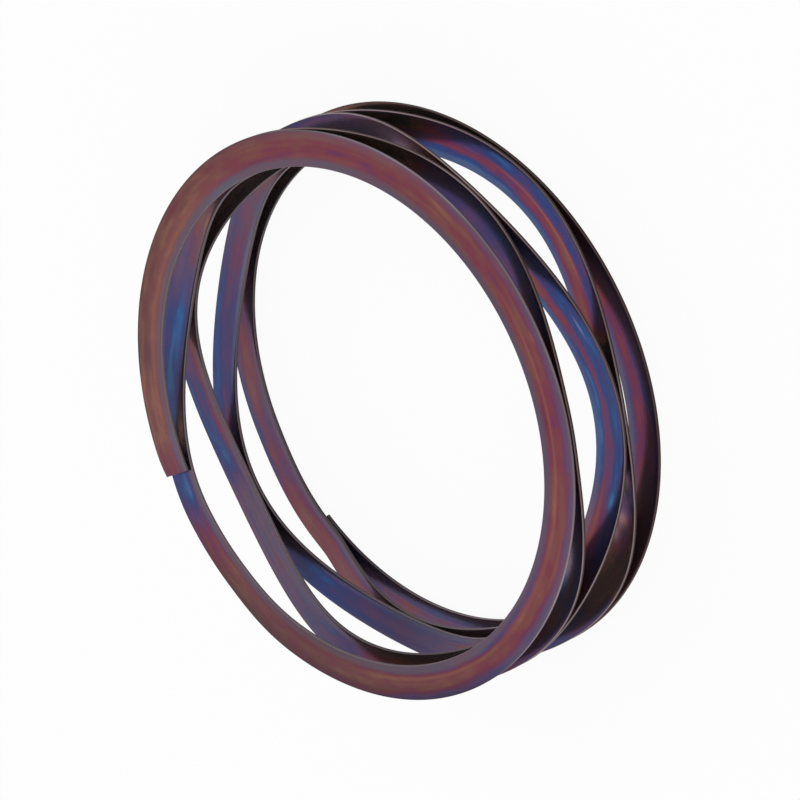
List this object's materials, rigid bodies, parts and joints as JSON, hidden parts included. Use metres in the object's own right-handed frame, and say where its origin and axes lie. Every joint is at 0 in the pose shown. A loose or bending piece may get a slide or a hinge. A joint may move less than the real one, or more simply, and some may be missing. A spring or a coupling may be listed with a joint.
{
  "type": "multi-turn wave spring",
  "caption": "Multi-turn wave spring of edge-wound flat steel wire with plain flat end turns and a heat-tinted surface.",
  "frame": {"origin": "centre of the spring's outline on the underside of the back end turn, which is the plane it stands on", "axes": "+Z along the spring's axis from the back end turn to the front end turn; +X from the centre towards the tip of the back end turn; the wire climbs counterclockwise seen from the front"},
  "size_m": [0.0701, 0.0705, 0.0172],
  "materials": {
    "wave_spring": "cold-rolled spring steel, glossy, with purple, blue and red-brown temper colours"
  },
  "bodies": {
    "root": {"wave_spring": "wave_spring"}
  },
  "joints": []
}
